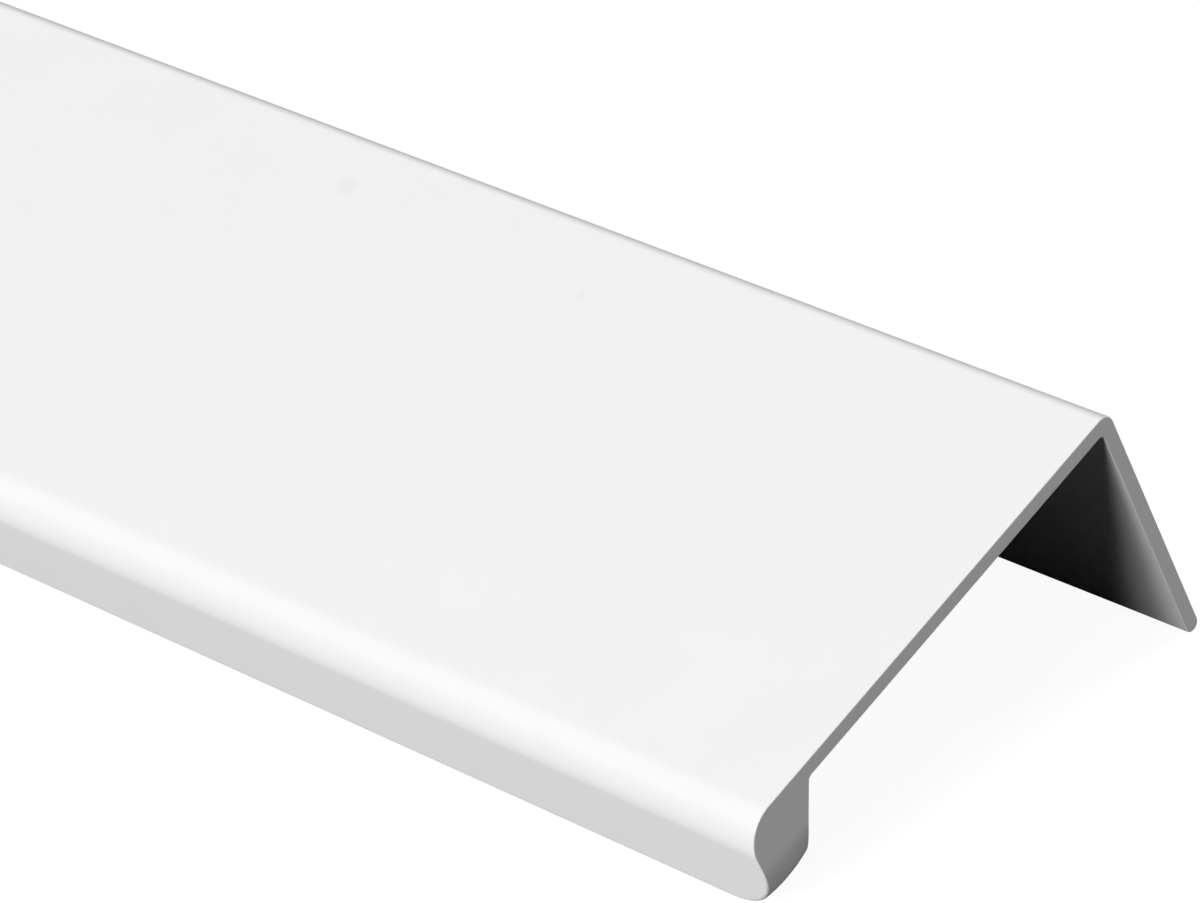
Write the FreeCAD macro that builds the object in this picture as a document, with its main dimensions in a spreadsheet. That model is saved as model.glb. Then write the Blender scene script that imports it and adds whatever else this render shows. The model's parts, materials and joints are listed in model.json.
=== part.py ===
"""Handleless finger pull: an extruded aluminium edge profile for a drawer or door front.

A thin plate covers the edge of the front board, a flange lies behind the board,
and a solid nose in front of it gives the fingers something to pull on.
Working frame: X along the profile, the flange's outer face at Y = 0, the nose towards -Y
and the plate's top at Z = 0. The finished body is then laid down as it rests on a floor.
"""
import FreeCAD
import Part
import Sketcher
import math
import os

# Driving sizes in millimetres
SIZES = {
    "length": 297.0,
    "overall_depth": 40.0,
    "flange_height": 22.0,
    "wall": 1.25,
    "nose_height": 9.1,
    "nose_root": 6.4,
    "nose_foot": 5.0,
    "groove_depth": 1.15,
    "shoulder_radius": 2.7,
    "back_radius": 1.1,
    "inner_radius": 0.4,
    "nose_edge_radius": 0.4,
    "end_radius": 5.2,
}

NODE = "finger_pull_profile"

# How close two points have to lie to be the same corner
SAME_PLACE = 1e-4

# The two ends of a sketched line or arc, and the centre of an arc, as the sketcher numbers them
START = 1
END = 2
CENTRE = 3

# The sketch's own origin, as the sketcher numbers it
SKETCH_ORIGIN = (-1, 1)

doc = FreeCAD.newDocument("finger_pull")
sheet = doc.addObject("Spreadsheet::Sheet", "sizes")
for row, (name, value) in enumerate(SIZES.items(), start=1):
    sheet.set(f"A{row}", name)
    sheet.set(f"B{row}", str(value))
    sheet.setAlias(f"B{row}", name)
doc.recompute()

body = doc.addObject("PartDesign::Body", NODE)
body.Label = NODE


def origin_plane(role):
    """Return the body's own origin plane with this role."""
    return next(item for item in body.Origin.OriginFeatures if item.Role == role)


def section_point(depth, drop):
    """A point of the cross-section: depth forward of the flange, drop below the plate's top."""
    return FreeCAD.Vector(-depth, -drop, 0)


def add_line(sketch, start, end):
    """Add a straight stretch and return its number."""
    return sketch.addGeometry(Part.LineSegment(start, end))


def add_arc(sketch, start, middle, end):
    """Add a round stretch through three points and return its number."""
    return sketch.addGeometry(Part.Arc(start, middle, end))


def meeting_ends(sketch, first, second):
    """Return the two stretches with the ends at which they meet, as a constraint takes them."""
    for first_end in (START, END):
        for second_end in (START, END):
            gap = sketch.getPoint(first, first_end) - sketch.getPoint(second, second_end)
            if gap.Length < SAME_PLACE:
                return first, first_end, second, second_end
    raise RuntimeError(f"stretches {first} and {second} of {sketch.Name} do not meet")


def dimension(sketch, kind, places, expression):
    """Add a dimension that follows an expression of the sheet's sizes."""
    value = float(sheet.evalExpression(expression))
    index = sketch.addConstraint(Sketcher.Constraint(kind, *places, value))
    sketch.setExpression(f"Constraints[{index}]", expression)


def draw_section():
    """Draw the cross-section with sharp corners, a hollow behind the nose and a round flange edge."""
    sketch = body.newObject("Sketcher::SketchObject", "section")
    sketch.AttachmentSupport = [(origin_plane("YZ_Plane"), "")]
    sketch.MapMode = "FlatFace"

    back_top = section_point(0, 0)
    front_top = section_point(sheet.overall_depth, 0)
    toe = section_point(sheet.overall_depth, sheet.nose_height)
    heel = section_point(sheet.overall_depth - sheet.nose_foot, sheet.nose_height)
    root = section_point(sheet.overall_depth - sheet.nose_root, sheet.wall)
    corner = section_point(sheet.wall, sheet.wall)
    edge_start = section_point(sheet.wall, sheet.flange_height - sheet.wall / 2)
    edge_low = section_point(sheet.wall / 2, sheet.flange_height)
    edge_end = section_point(0, sheet.flange_height - sheet.wall / 2)
    chord = root - heel
    into_nose = FreeCAD.Vector(-chord.y, chord.x, 0).normalize()
    groove_middle = (root + heel) / 2 + into_nose * sheet.groove_depth

    plate_top = add_line(sketch, back_top, front_top)
    nose_front = add_line(sketch, front_top, toe)
    nose_sole = add_line(sketch, toe, heel)
    groove = add_arc(sketch, heel, groove_middle, root)
    plate_under = add_line(sketch, root, corner)
    flange_inside = add_line(sketch, corner, edge_start)
    flange_edge = add_arc(sketch, edge_start, edge_low, edge_end)
    flange_outside = add_line(sketch, edge_end, back_top)

    outline = [plate_top, nose_front, nose_sole, groove, plate_under]
    outline += [flange_inside, flange_edge, flange_outside]
    for first, second in zip(outline, outline[1:] + outline[:1]):
        smooth = flange_edge in (first, second)
        kind = "Tangent" if smooth else "Coincident"
        sketch.addConstraint(Sketcher.Constraint(kind, *meeting_ends(sketch, first, second)))
    for flat in (plate_top, nose_sole, plate_under):
        sketch.addConstraint(Sketcher.Constraint("Horizontal", flat))
    for upright in (nose_front, flange_inside, flange_outside):
        sketch.addConstraint(Sketcher.Constraint("Vertical", upright))
    sketch.addConstraint(Sketcher.Constraint("Coincident", plate_top, START, *SKETCH_ORIGIN))

    dimension(sketch, "DistanceX", (plate_top, END, plate_top, START), "sizes.overall_depth")
    dimension(sketch, "DistanceY", (nose_front, END, nose_front, START), "sizes.nose_height")
    dimension(sketch, "DistanceX", (nose_sole, START, nose_sole, END), "sizes.nose_foot")
    dimension(sketch, "DistanceX", (plate_top, END, plate_under, START), "sizes.nose_root")
    dimension(sketch, "DistanceY", (plate_under, END, plate_top, START), "sizes.wall")
    dimension(sketch, "DistanceX", (flange_inside, START, plate_top, START), "sizes.wall")
    drop = "sizes.flange_height - sizes.wall / 2"
    dimension(sketch, "DistanceY", (flange_edge, CENTRE, plate_top, START), drop)
    half_chord_squared = "((sizes.nose_root - sizes.nose_foot)^2 + (sizes.nose_height - sizes.wall)^2) / 4"
    groove_radius = f"({half_chord_squared} + sizes.groove_depth^2) / (2 * sizes.groove_depth)"
    dimension(sketch, "Radius", (groove,), groove_radius)
    return sketch


def extrude(sketch):
    """Make the bar, as long each way from the middle."""
    bar = body.newObject("PartDesign::Pad", "bar")
    bar.Profile = sketch
    bar.SideType = "Symmetric"
    bar.setExpression("Length", "sizes.length")
    doc.recompute()
    return bar


def long_edge(shape, depth, drop):
    """Return the name of the edge along the bar at this place of the cross-section."""
    place = FreeCAD.Vector(0, -depth, -drop)
    for number, edge in enumerate(shape.Edges, start=1):
        if edge.CenterOfMass.distanceToPoint(place) < SAME_PLACE:
            return f"Edge{number}"
    raise RuntimeError(f"no edge along the bar at {depth}, {drop}")


def round_edges(name, base, places, radius):
    """Round the edges along the bar at these places of the cross-section."""
    fillet = body.newObject("PartDesign::Fillet", name)
    fillet.Base = (base, [long_edge(base.Shape, depth, drop) for depth, drop in places])
    fillet.setExpression("Radius", radius)
    doc.recompute()
    return fillet


def round_bar(bar):
    """Round the bar's long edges: the front shoulder, the back, the two inner corners and the nose's sole."""
    front = sheet.overall_depth
    shoulder = round_edges("shoulder", bar, [(front, 0)], "sizes.shoulder_radius")
    back = round_edges("back", shoulder, [(0, 0)], "sizes.back_radius")
    roots = [(sheet.wall, sheet.wall), (front - sheet.nose_root, sheet.wall)]
    inner = round_edges("inner_corners", back, roots, "sizes.inner_radius")
    sole = [(front, sheet.nose_height), (front - sheet.nose_foot, sheet.nose_height)]
    return round_edges("sole_edges", inner, sole, "sizes.nose_edge_radius")


def cut_end_corner(base):
    """Cut the nose's lower corner at one end to a large radius, seen from the front."""
    sketch = body.newObject("Sketcher::SketchObject", "end_corner")
    sketch.AttachmentSupport = [(origin_plane("XZ_Plane"), "")]
    sketch.MapMode = "FlatFace"
    sketch.setExpression(".AttachmentOffset.Base.z", "sizes.overall_depth")
    end = sheet.length / 2
    sole = -sheet.nose_height
    radius = sheet.end_radius
    tip = FreeCAD.Vector(end, sole, 0)
    above = FreeCAD.Vector(end, sole + radius, 0)
    inward = FreeCAD.Vector(end - radius, sole, 0)
    slant = radius * math.sqrt(0.5)
    middle = FreeCAD.Vector(end - radius + slant, sole + radius - slant, 0)

    upright = add_line(sketch, tip, above)
    curve = add_arc(sketch, above, middle, inward)
    flat = add_line(sketch, inward, tip)
    sketch.addConstraint(Sketcher.Constraint("Tangent", *meeting_ends(sketch, upright, curve)))
    sketch.addConstraint(Sketcher.Constraint("Tangent", *meeting_ends(sketch, curve, flat)))
    sketch.addConstraint(Sketcher.Constraint("Coincident", flat, END, upright, START))
    sketch.addConstraint(Sketcher.Constraint("Horizontal", flat))
    sketch.addConstraint(Sketcher.Constraint("Vertical", upright))
    dimension(sketch, "DistanceX", (*SKETCH_ORIGIN, upright, START), "sizes.length / 2")
    dimension(sketch, "DistanceY", (upright, START, *SKETCH_ORIGIN), "sizes.nose_height")
    dimension(sketch, "Radius", (curve,), "sizes.end_radius")
    doc.recompute()

    volume_before = base.Shape.Volume
    pocket = body.newObject("PartDesign::Pocket", "end_rounding")
    pocket.Profile = sketch
    pocket.setExpression("Length", "max(sizes.nose_root; sizes.nose_foot)")
    doc.recompute()
    if pocket.Shape.Volume >= volume_before:
        raise RuntimeError("the end rounding cuts nothing")

    mirrored = body.newObject("PartDesign::Mirrored", "both_ends")
    mirrored.Originals = [pocket]
    mirrored.MirrorPlane = (origin_plane("YZ_Plane"), [""])
    body.Tip = mirrored
    doc.recompute()
    return mirrored


def lay_down():
    """Tilt the body until the flange's edge and the nose's toe both touch the floor, and centre it."""
    edge_radius = sheet.wall / 2
    toe_radius = sheet.nose_edge_radius
    across = sheet.overall_depth - toe_radius - edge_radius
    down = sheet.flange_height - edge_radius - sheet.nose_height + toe_radius
    tilt = math.atan2(down, across) + math.asin((edge_radius - toe_radius) / math.hypot(down, across))
    turn = FreeCAD.Rotation(FreeCAD.Vector(1, 0, 0), math.degrees(tilt))
    body.Placement = FreeCAD.Placement(FreeCAD.Vector(), turn)
    box = body.Shape.optimalBoundingBox(False, False)
    body.Placement = FreeCAD.Placement(FreeCAD.Vector(0, -box.Center.y, -box.ZMin), turn)
    doc.recompute()


def check_document():
    """Stop if any object failed or the body's shape is not one valid solid."""
    for item in doc.Objects:
        if "Invalid" in item.State or "Error" in item.State:
            raise RuntimeError(f"{item.Name} failed: {item.State}")
    shape = body.Shape
    if shape.isNull() or not shape.isValid() or len(shape.Solids) != 1:
        raise RuntimeError("the profile is not one valid solid")


cut_end_corner(round_bar(extrude(draw_section())))
lay_down()
check_document()

os.makedirs("parts", exist_ok=True)
body.Shape.exportStep(f"parts/{NODE}.step")
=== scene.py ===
"""Handleless finger pull, dressed for its picture: a white coated aluminium edge profile on a pale floor.

The bar is traced as a cross-section, drawn out to its length, rounded at the nose's ends and eased
along its cut edges. It is modelled level, then laid down where the frame's two seat faces say.
"""
import bpy
import json
import math
from mathutils import Matrix, Vector


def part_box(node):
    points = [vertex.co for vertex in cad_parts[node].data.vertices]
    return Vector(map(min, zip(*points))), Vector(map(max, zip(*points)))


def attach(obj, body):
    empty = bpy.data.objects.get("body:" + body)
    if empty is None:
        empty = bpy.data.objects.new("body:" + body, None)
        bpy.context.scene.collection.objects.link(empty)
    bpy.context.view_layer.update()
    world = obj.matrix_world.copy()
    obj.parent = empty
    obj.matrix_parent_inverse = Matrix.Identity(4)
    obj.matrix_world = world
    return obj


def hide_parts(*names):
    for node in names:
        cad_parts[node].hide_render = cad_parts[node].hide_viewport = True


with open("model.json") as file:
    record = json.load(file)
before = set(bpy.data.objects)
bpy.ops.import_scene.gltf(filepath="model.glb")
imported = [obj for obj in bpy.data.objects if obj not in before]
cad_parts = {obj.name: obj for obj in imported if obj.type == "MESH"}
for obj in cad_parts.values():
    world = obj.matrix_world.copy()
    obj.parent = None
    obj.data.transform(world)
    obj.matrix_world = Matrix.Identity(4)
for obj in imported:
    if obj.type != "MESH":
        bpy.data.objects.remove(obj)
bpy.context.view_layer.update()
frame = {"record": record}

MM = 0.001
QUARTER_TURN = math.pi / 2
WHITE = (1, 1, 1, 1)
NODE = "finger_pull_profile"

# Cross-section, in the frame's own sizes
OVERALL_DEPTH = 40.0 * MM
FLANGE_HEIGHT = 22.0 * MM
WALL = 1.25 * MM
NOSE_HEIGHT = 9.1 * MM
NOSE_ROOT = 6.4 * MM
NOSE_FOOT = 5.0 * MM
SHOULDER_RADIUS = 2.7 * MM
BACK_RADIUS = 1.1 * MM
INNER_RADIUS = 0.4 * MM
END_RADIUS = 5.2 * MM

# Back of the nose: where its straight slope runs into the hollow, behind the front and below the
# plate's top, and how far from the root the rounding there begins
SLOPE_END = 5.05 * MM
SLOPE_DROP = 3.8 * MM
ROOT_SETBACK = 0.24 * MM

# How finely the round stretches are divided
SHOULDER_STEPS = 20
CORNER_STEPS = 8
HOLLOW_STEPS = 24
END_STEPS = 32

# How far the cut ends and the nose's toe are eased, how finely, and how sharp an edge has to be for it
END_EASE = 0.10 * MM
TOE_EASE = 0.45 * MM
EASE_STEPS = 4
EASED_ANGLE = math.radians(40)

# How much fuller the nose's end roundings stand between toe and heel, over what width, in how many strips
FULLNESS = 0.20 * MM
FULL_WIDTH = 4.4 * MM
FULL_STEPS = 8

# How far a cutter stands clear of what it cuts
CUTTER_MARGIN = 2.0 * MM

# How close a point lies to a place that it is looked up by, and to another that it is merged with
NEAR = 0.01 * MM
MERGED = 0.001 * MM

# How little a face may lean forward or back to count as square to the section
LEVEL = 0.01

# How much more large faces count in the shading than small ones, 100 at most
LARGE_FACE_WEIGHT = 100

# Coat: how strongly it bends light, its darker and paler tone, and its smoother and rougher sheen.
# A scale says how many patches lie on a metre, and the mottle changes tone between its two levels.
COAT_IOR = 1.45
COAT_DARKER = (0.857, 0.857, 0.852, 1)
COAT_PALER = (0.863, 0.863, 0.858, 1)
MOTTLE_SCALE = 140.0
MOTTLE_LOW = 0.35
MOTTLE_HIGH = 0.65
COAT_SMOOTHER = 0.53
COAT_ROUGHER = 0.57
SHEEN_SCALE = 60.0

# Orange peel: how many bumps lie on a metre and how high they are
PEEL_SCALE = 1400.0
PEEL_STRENGTH = 0.15
PEEL_HEIGHT = 0.004 * MM

# Two faint specks in the coat, by place and radius, their tone, and the share of the radius that has it
SPECKS = (
    ((79.15 * MM, 10.69 * MM, 19.60 * MM), 1.1 * MM),
    ((104.49 * MM, 9.17 * MM, 19.10 * MM), 0.4 * MM),
)
SPECK_TONE = (0.828, 0.828, 0.818, 1)
SPECK_CORE = 0.5

# Camera: where it stands as seen from what it aims at, in degrees and metres, and its lens in millimetres
CAMERA_AZIMUTH = 48.390
CAMERA_ELEVATION = 31.057
CAMERA_ROLL = -8.195
CAMERA_DISTANCE = 0.48763
CAMERA_AIM = Vector((0.114425, -0.000013, 0.014317))
SENSOR_WIDTH = 36.0
LENS = 211.46

# Lamps: each one's direction from the middle of the view, width and height in metres, and power in watts
LAMP_DISTANCE = 2.4
LAMPS = {
    "front_softbox": ((-0.061, -0.934, 0.356), (1.25, 0.9), 47.5),
    "front_strip": ((0.045, -0.945, 0.325), (0.22, 0.8), 13.3),
    "overhead_softbox": ((0.05, 0.40, 0.91), (1.0, 1.0), 32.4),
    "near_end_softbox": ((0.985, 0.14, 0.10), (0.6, 0.4), 11.0),
    "far_end_softbox": ((-0.985, 0.14, 0.10), (0.6, 0.4), 11.0),
}

# Surround: how bright it is to the eye, and how much even light it throws on the object
BACKDROP = 1.0
AMBIENT = 0.002

# Floor: its size, how much it shines to the eye, how pale its shadow is, and how pale it is to other rays
FLOOR_SIZE = 8.0
FLOOR_GLOW = 0.945
FLOOR_SHADOW = 0.12
FLOOR_BOUNCE = 0.055

low_corner, high_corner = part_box(NODE)
BAR_LENGTH = high_corner[0] - low_corner[0]
BAR_END = BAR_LENGTH / 2

# Centre of each end rounding: how far out along the bar and how far below the plate's top it lies
TURN_OUT = BAR_END - END_RADIUS
TURN_DROP = NOSE_HEIGHT - END_RADIUS


def deselect_all():
    """Leave nothing selected, in object mode."""
    bpy.ops.object.select_all(action="DESELECT")


def make_active(piece):
    """Select one piece alone and make it the one that operators act on."""
    deselect_all()
    piece.select_set(True)
    bpy.context.view_layer.objects.active = piece


def new_point(name, place):
    """Start a piece as a single selected point at this place, in edit mode."""
    deselect_all()
    bpy.ops.mesh.primitive_plane_add(size=MM)
    piece = bpy.context.object
    piece.name = name
    piece.data.name = name
    bpy.ops.object.mode_set(mode="EDIT")
    bpy.ops.mesh.select_mode(type="VERT")
    bpy.ops.mesh.select_all(action="SELECT")
    bpy.ops.mesh.merge(type="CENTER")
    bpy.ops.transform.translate(value=place)
    return piece


def draw_on(step):
    """Draw the outline on from the selected point, or draw out the selected face, by this step."""
    bpy.ops.mesh.extrude_region_move(TRANSFORM_OT_translate={"value": step})


def draw_along(places):
    """Draw the outline on from the first of these places, where the selected point is, to the last."""
    for start, end in zip(places, places[1:]):
        draw_on(end - start)


def fill_outline():
    """Close the outline and fill it with one face."""
    bpy.ops.mesh.select_all(action="SELECT")
    bpy.ops.mesh.edge_face_add()


def turn_faces_out():
    """Point every face of a closed piece outwards."""
    bpy.ops.mesh.select_all(action="SELECT")
    bpy.ops.mesh.normals_make_consistent(inside=False)


def pick_at(piece, place):
    """Select the point at this place and nothing else."""
    bpy.ops.mesh.select_all(action="DESELECT")
    bpy.ops.object.mode_set(mode="OBJECT")
    for point in piece.data.vertices:
        point.select = (point.co - place).length < NEAR
    bpy.ops.object.mode_set(mode="EDIT")


def round_corner(piece, place, setback, steps):
    """Round one corner of a flat outline, from this far back along its two sides."""
    pick_at(piece, place)
    bpy.ops.mesh.bevel(offset=setback, segments=steps, affect="VERTICES", clamp_overlap=False)


def section_place(depth, drop):
    """A place in the level cross-section: depth forward of the flange, drop below the plate's top."""
    return Vector((-BAR_END, -depth, -drop))


def hollow_arc(heel, slope_end, root):
    """Centre and angle of the arc that rises from the heel and runs smoothly into the root's slope."""
    slope = (root - slope_end).normalized()
    backward = Vector((0, slope.z, -slope.y))
    span = heel - slope_end
    radius = span.length_squared / (2 * span.dot(backward))
    centre = slope_end + backward * radius
    return centre, (heel - centre).angle(slope_end - centre)


def trace_section():
    """Trace the cross-section at one end of the bar, fill it and round its corners."""
    back_top = section_place(0, 0)
    front_top = section_place(OVERALL_DEPTH, 0)
    toe = section_place(OVERALL_DEPTH, NOSE_HEIGHT)
    heel = section_place(OVERALL_DEPTH - NOSE_FOOT, NOSE_HEIGHT)
    slope_end = section_place(OVERALL_DEPTH - SLOPE_END, SLOPE_DROP)
    root = section_place(OVERALL_DEPTH - NOSE_ROOT, WALL)
    corner = section_place(WALL, WALL)
    edge_inside = section_place(WALL, FLANGE_HEIGHT)
    edge_outside = section_place(0, FLANGE_HEIGHT)

    bar = new_point(NODE + "_coated", back_top)
    draw_along((back_top, front_top, toe, heel))
    centre, angle = hollow_arc(heel, slope_end, root)
    bpy.ops.mesh.spin(steps=HOLLOW_STEPS, angle=angle, center=centre, axis=(1, 0, 0))
    draw_along((slope_end, root, corner, edge_inside, edge_outside))
    fill_outline()

    round_corner(bar, front_top, SHOULDER_RADIUS, SHOULDER_STEPS)
    round_corner(bar, back_top, BACK_RADIUS, CORNER_STEPS)
    round_corner(bar, corner, INNER_RADIUS, CORNER_STEPS)
    round_corner(bar, root, ROOT_SETBACK, CORNER_STEPS)
    round_corner(bar, edge_inside, WALL / 2, CORNER_STEPS)
    round_corner(bar, edge_outside, WALL / 2, CORNER_STEPS)
    bpy.ops.mesh.select_all(action="SELECT")
    bpy.ops.mesh.remove_doubles(threshold=MERGED)
    return bar


def draw_out_bar():
    """Draw the filled section, which is being edited, out to the bar's length."""
    bpy.ops.mesh.select_all(action="SELECT")
    draw_on((BAR_LENGTH, 0, 0))
    turn_faces_out()
    bpy.ops.object.mode_set(mode="OBJECT")


def make_corner_cutter(side):
    """Make the block that takes the nose's lower corner off at one end, side -1 or 1."""
    front = -OVERALL_DEPTH - CUTTER_MARGIN
    thickness = NOSE_ROOT + 2 * CUTTER_MARGIN
    end = side * BAR_END
    inward = side * TURN_OUT
    beyond = end + side * CUTTER_MARGIN
    above = -TURN_DROP
    below = -NOSE_HEIGHT - CUTTER_MARGIN

    cutter = new_point("corner_cutter", Vector((inward, front, -NOSE_HEIGHT)))
    centre = (inward, front, above)
    bpy.ops.mesh.spin(steps=END_STEPS, angle=side * QUARTER_TURN, center=centre, axis=(0, 1, 0))
    draw_on((beyond - end, 0, 0))
    draw_on((0, 0, below - above))
    draw_on((inward - beyond, 0, 0))
    fill_outline()
    draw_on((0, thickness, 0))
    turn_faces_out()
    bpy.ops.object.mode_set(mode="OBJECT")
    return cutter


def cut_off(bar, cutter):
    """Cut one block out of the bar and throw the block away."""
    make_active(bar)
    cut = bar.modifiers.new("corner", "BOOLEAN")
    cut.operation = "DIFFERENCE"
    cut.solver = "EXACT"
    cut.object = cutter
    bpy.ops.object.modifier_apply(modifier=cut.name)
    bpy.data.objects.remove(cutter)


def from_turn(place):
    """How far out and how far below the centre of the nearest end rounding a place lies."""
    return abs(place.x) - TURN_OUT, -place.z - TURN_DROP


def pick_roundings(bar):
    """Select the nose's two end roundings, but for the facets next to the cut end and the sole."""
    bpy.ops.mesh.select_all(action="DESELECT")
    bpy.ops.object.mode_set(mode="OBJECT")
    points = bar.data.vertices
    for face in bar.data.polygons:
        corners = [points[index].co for index in face.vertices]
        low = all(NEAR < corner.z + NOSE_HEIGHT < END_RADIUS - NEAR for corner in corners)
        outer = all(NEAR < BAR_END - abs(corner.x) < END_RADIUS - NEAR for corner in corners)
        front = all(corner.y < NOSE_ROOT - OVERALL_DEPTH for corner in corners)
        face.select = low and outer and front and abs(face.normal.y) < LEVEL
    bpy.ops.object.mode_set(mode="EDIT")


def fill_out_roundings(bar):
    """Let the nose's end roundings stand a little fuller in the middle than along their edges."""
    make_active(bar)
    bpy.ops.object.mode_set(mode="EDIT")
    bpy.ops.mesh.select_mode(type="FACE")
    for step in range(1, FULL_STEPS + 1):
        pick_roundings(bar)
        line = FULL_WIDTH * step / FULL_STEPS - OVERALL_DEPTH
        bpy.ops.mesh.bisect(plane_co=(0, line, 0), plane_no=(0, 1, 0))
    bpy.ops.object.mode_set(mode="OBJECT")

    for point in bar.data.vertices:
        across = (point.co.y + OVERALL_DEPTH) / FULL_WIDTH
        outward, below = from_turn(point.co)
        on_rounding = abs(math.hypot(outward, below) - END_RADIUS) < NEAR
        if min(outward, below) < 0 or not 0 < across < 1 or not on_rounding:
            continue
        share = 4 * across * (1 - across) * math.sin(2 * math.atan2(outward, below)) ** 2
        grown = 1 + FULLNESS * share / END_RADIUS
        point.co.x = math.copysign(TURN_OUT + outward * grown, point.co.x)
        point.co.z = -TURN_DROP - below * grown


def ease_edges(bar):
    """Take the sharpness off every edge that the saw and the cuts left, all by the same little."""
    make_active(bar)
    ease = bar.modifiers.new("ease", "BEVEL")
    ease.width = END_EASE
    ease.segments = EASE_STEPS
    ease.limit_method = "ANGLE"
    ease.angle_limit = EASED_ANGLE
    ease.use_clamp_overlap = False
    bpy.ops.object.modifier_apply(modifier=ease.name)


def swell_toe(bar):
    """Let the easing of the nose's toe grow, from the cut end round the corner to the sole."""
    for point in bar.data.vertices:
        outward, below = from_turn(point.co)
        if below < 0 or outward < -NEAR:
            continue
        turn = math.atan2(outward, below)
        edge_out = TURN_OUT + END_RADIUS * math.sin(turn)
        edge_drop = TURN_DROP + END_RADIUS * math.cos(turn)
        edge = Vector((math.copysign(edge_out, point.co.x), -OVERALL_DEPTH, -edge_drop))
        inward = point.co - edge
        if inward.length < END_EASE + NEAR:
            share = 1 - turn / QUARTER_TURN
            point.co = edge + inward * (1 + (TOE_EASE / END_EASE - 1) * share)


def lay_down(bar):
    """Tilt and move the level bar onto the frame's seat faces, and keep the place in its mesh."""
    seats = {mount["name"]: mount for mount in frame["record"]["mounts"]}
    forward = Vector(seats["board_back_seat"]["axis"])
    downward = Vector(seats["board_edge_seat"]["axis"])
    flange_inside = Vector(seats["board_back_seat"]["pos_m"]).dot(forward)
    plate_under = Vector(seats["board_edge_seat"]["pos_m"]).dot(downward)
    corner = forward * (flange_inside - WALL) + downward * (plate_under - WALL)
    tilt = math.atan2(-forward.z, -forward.y)
    make_active(bar)
    bar.matrix_world = Matrix.Translation(corner) @ Matrix.Rotation(tilt, 4, "X")
    bpy.ops.object.transform_apply(location=True, rotation=True, scale=True)


def smooth_faces(bar):
    """Shade the rounded stretches smooth and keep the flats flat."""
    make_active(bar)
    bpy.ops.object.shade_smooth()
    even = bar.modifiers.new("even", "WEIGHTED_NORMAL")
    even.keep_sharp = True
    even.weight = LARGE_FACE_WEIGHT
    bpy.ops.object.modifier_apply(modifier=even.name)


def make_bar():
    """Model the whole profile."""
    bar = trace_section()
    draw_out_bar()
    for side in (-1, 1):
        cut_off(bar, make_corner_cutter(side))
    fill_out_roundings(bar)
    ease_edges(bar)
    swell_toe(bar)
    lay_down(bar)
    smooth_faces(bar)
    return bar


def add_noise(tree, place, scale):
    """Soft random patches, so many to a metre, fixed to the object."""
    noise = tree.nodes.new("ShaderNodeTexNoise")
    noise.inputs["Scale"].default_value = scale
    tree.links.new(place.outputs["Object"], noise.inputs["Vector"])
    return noise


def add_speck(tree, place, ground, centre, radius):
    """Lay one soft darker speck over the tone that comes from the ground socket."""
    away = tree.nodes.new("ShaderNodeVectorMath")
    away.operation = "DISTANCE"
    away.inputs[1].default_value = centre
    fade = tree.nodes.new("ShaderNodeMapRange")
    fade.interpolation_type = "SMOOTHSTEP"
    fade.inputs["From Min"].default_value = radius
    fade.inputs["From Max"].default_value = radius * SPECK_CORE
    over = tree.nodes.new("ShaderNodeMixRGB")
    over.inputs["Color2"].default_value = SPECK_TONE
    link = tree.links.new
    link(place.outputs["Object"], away.inputs[0])
    link(away.outputs["Value"], fade.inputs["Value"])
    link(fade.outputs["Result"], over.inputs["Fac"])
    link(ground, over.inputs["Color1"])
    return over.outputs["Color"]


def make_coat():
    """White powder coat: nearly even in tone, with orange peel, a satin sheen and two faint specks."""
    material = bpy.data.materials.new("white_powder_coat")
    material.use_nodes = True
    tree = material.node_tree
    link = tree.links.new
    shader = tree.nodes["Principled BSDF"]
    shader.inputs["IOR"].default_value = COAT_IOR
    place = tree.nodes.new("ShaderNodeTexCoord")

    tone = tree.nodes.new("ShaderNodeValToRGB")
    tone.color_ramp.elements[0].position = MOTTLE_LOW
    tone.color_ramp.elements[0].color = COAT_DARKER
    tone.color_ramp.elements[1].position = MOTTLE_HIGH
    tone.color_ramp.elements[1].color = COAT_PALER
    link(add_noise(tree, place, MOTTLE_SCALE).outputs["Fac"], tone.inputs["Fac"])
    ground = tone.outputs["Color"]
    for centre, radius in SPECKS:
        ground = add_speck(tree, place, ground, centre, radius)
    link(ground, shader.inputs["Base Color"])

    sheen = tree.nodes.new("ShaderNodeMapRange")
    sheen.inputs["To Min"].default_value = COAT_SMOOTHER
    sheen.inputs["To Max"].default_value = COAT_ROUGHER
    link(add_noise(tree, place, SHEEN_SCALE).outputs["Fac"], sheen.inputs["Value"])
    link(sheen.outputs["Result"], shader.inputs["Roughness"])

    peel = tree.nodes.new("ShaderNodeBump")
    peel.inputs["Strength"].default_value = PEEL_STRENGTH
    peel.inputs["Distance"].default_value = PEEL_HEIGHT
    link(add_noise(tree, place, PEEL_SCALE).outputs["Fac"], peel.inputs["Height"])
    link(peel.outputs["Normal"], shader.inputs["Normal"])
    return material


def add_matt(tree, paleness):
    """A matt grey surface of this paleness."""
    matt = tree.nodes.new("ShaderNodeBsdfDiffuse")
    matt.inputs["Color"].default_value = (paleness, paleness, paleness, 1)
    return matt


def add_surround(tree, strength):
    """An even white surround of this strength."""
    surround = tree.nodes.new("ShaderNodeBackground")
    surround.inputs["Color"].default_value = WHITE
    surround.inputs["Strength"].default_value = strength
    return surround


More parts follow.
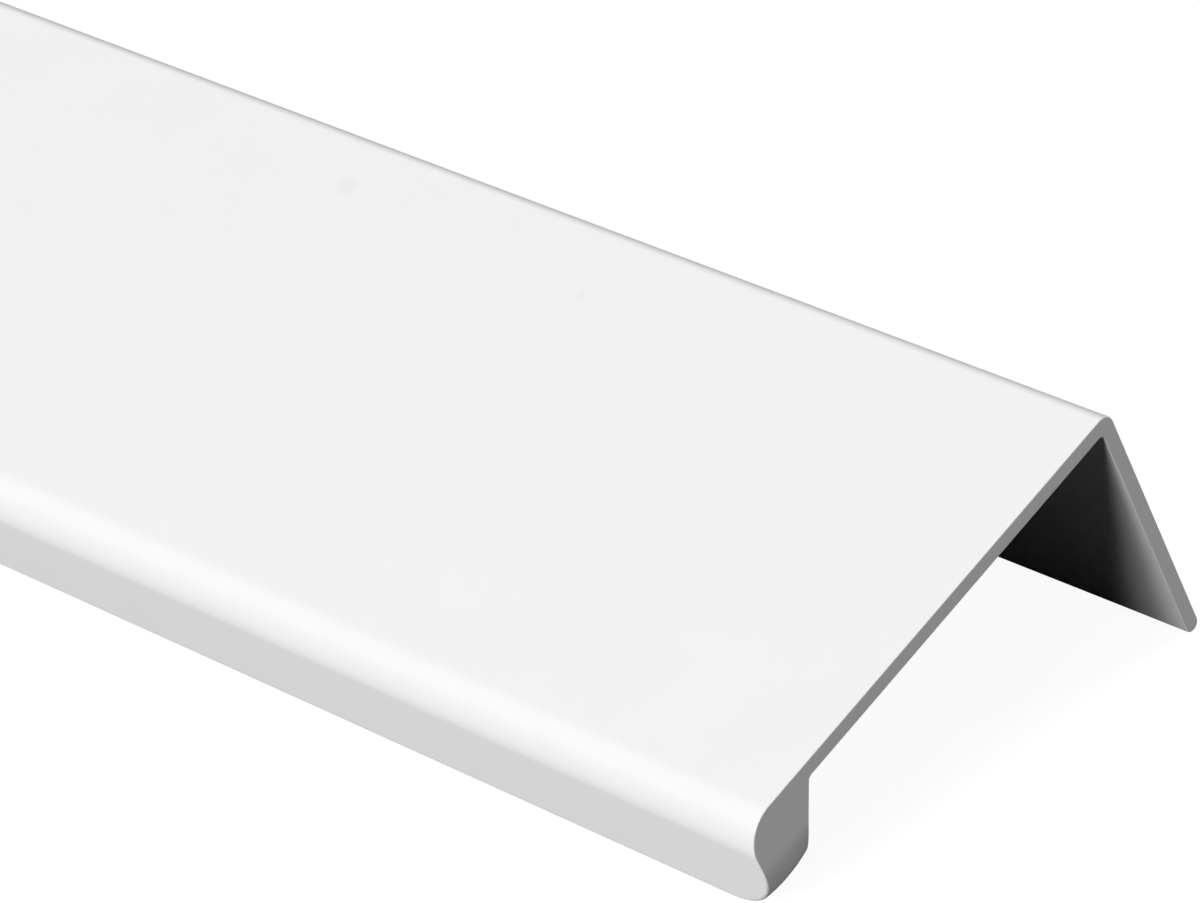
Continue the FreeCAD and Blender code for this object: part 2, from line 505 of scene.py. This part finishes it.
def show_to_the_eye(tree, shown, hidden, output):
    """Give one shader to what the eye sees, straight or through glass, and another to all other rays.

    Mirrored rays are among the others: the coat is neither metal nor glass, and a white floor in
    its sheen would light up the dark inside of the flange.
    """
    paths = tree.nodes.new("ShaderNodeLightPath")
    seen = tree.nodes.new("ShaderNodeMath")
    seen.operation = "MAXIMUM"
    choose = tree.nodes.new("ShaderNodeMixShader")
    link = tree.links.new
    link(paths.outputs["Is Camera Ray"], seen.inputs[0])
    link(paths.outputs["Is Transmission Ray"], seen.inputs[1])
    link(seen.outputs[0], choose.inputs[0])
    link(hidden.outputs[0], choose.inputs[1])
    link(shown.outputs[0], choose.inputs[2])
    link(choose.outputs[0], output.inputs["Surface"])


def make_floor():
    """A pale floor: white to the eye with a faint shadow, and it throws little light back up."""
    deselect_all()
    bpy.ops.mesh.primitive_plane_add(size=FLOOR_SIZE)
    floor = bpy.context.object
    floor.name = "floor"
    material = bpy.data.materials.new("floor_white")
    material.use_nodes = True
    tree = material.node_tree
    tree.nodes.clear()
    output = tree.nodes.new("ShaderNodeOutputMaterial")
    glow = tree.nodes.new("ShaderNodeEmission")
    glow.inputs["Strength"].default_value = FLOOR_GLOW
    shaded = tree.nodes.new("ShaderNodeAddShader")
    tree.links.new(glow.outputs[0], shaded.inputs[0])
    tree.links.new(add_matt(tree, FLOOR_SHADOW).outputs[0], shaded.inputs[1])
    show_to_the_eye(tree, shaded, add_matt(tree, FLOOR_BOUNCE), output)
    floor.data.materials.append(material)


def make_world():
    """A white surround to the eye and a low even light on the object."""
    world = bpy.data.worlds.new("surround")
    bpy.context.scene.world = world
    world.use_nodes = True
    tree = world.node_tree
    tree.nodes.clear()
    output = tree.nodes.new("ShaderNodeOutputWorld")
    show_to_the_eye(tree, add_surround(tree, BACKDROP), add_surround(tree, AMBIENT), output)


def add_softbox(name, direction, size, watts):
    """Hang a soft lamp in this direction from the middle of the view, facing it."""
    lamp = bpy.data.lights.new(name, "AREA")
    lamp.shape = "RECTANGLE"
    lamp.size, lamp.size_y = size
    lamp.energy = watts
    holder = bpy.data.objects.new(name, lamp)
    bpy.context.collection.objects.link(holder)
    away = Vector(direction).normalized()
    holder.location = CAMERA_AIM + away * LAMP_DISTANCE
    holder.rotation_euler = away.to_track_quat("Z", "Y").to_euler()


def make_camera():
    """Set the camera where the photographer stood."""
    azimuth = math.radians(CAMERA_AZIMUTH)
    elevation = math.radians(CAMERA_ELEVATION)
    flat = Vector((math.sin(azimuth), -math.cos(azimuth), 0))
    back = flat * math.cos(elevation) + Vector((0, 0, math.sin(elevation)))
    upright = back.to_track_quat("Z", "Y").to_matrix().to_4x4()
    roll = Matrix.Rotation(math.radians(CAMERA_ROLL), 4, "Z")
    data = bpy.data.cameras.new("camera")
    data.sensor_width = SENSOR_WIDTH
    data.sensor_fit = "HORIZONTAL"
    data.lens = LENS
    camera = bpy.data.objects.new("camera", data)
    bpy.context.collection.objects.link(camera)
    camera.matrix_world = Matrix.Translation(CAMERA_AIM + back * CAMERA_DISTANCE) @ upright @ roll
    bpy.context.scene.camera = camera


bar = make_bar()
bar.data.materials.clear()
bar.data.materials.append(make_coat())
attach(bar, "root")
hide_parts(NODE)

make_floor()
make_world()
for name, (direction, size, watts) in LAMPS.items():
    add_softbox(name, direction, size, watts)
make_camera()
bpy.context.scene.view_settings.view_transform = "Standard"
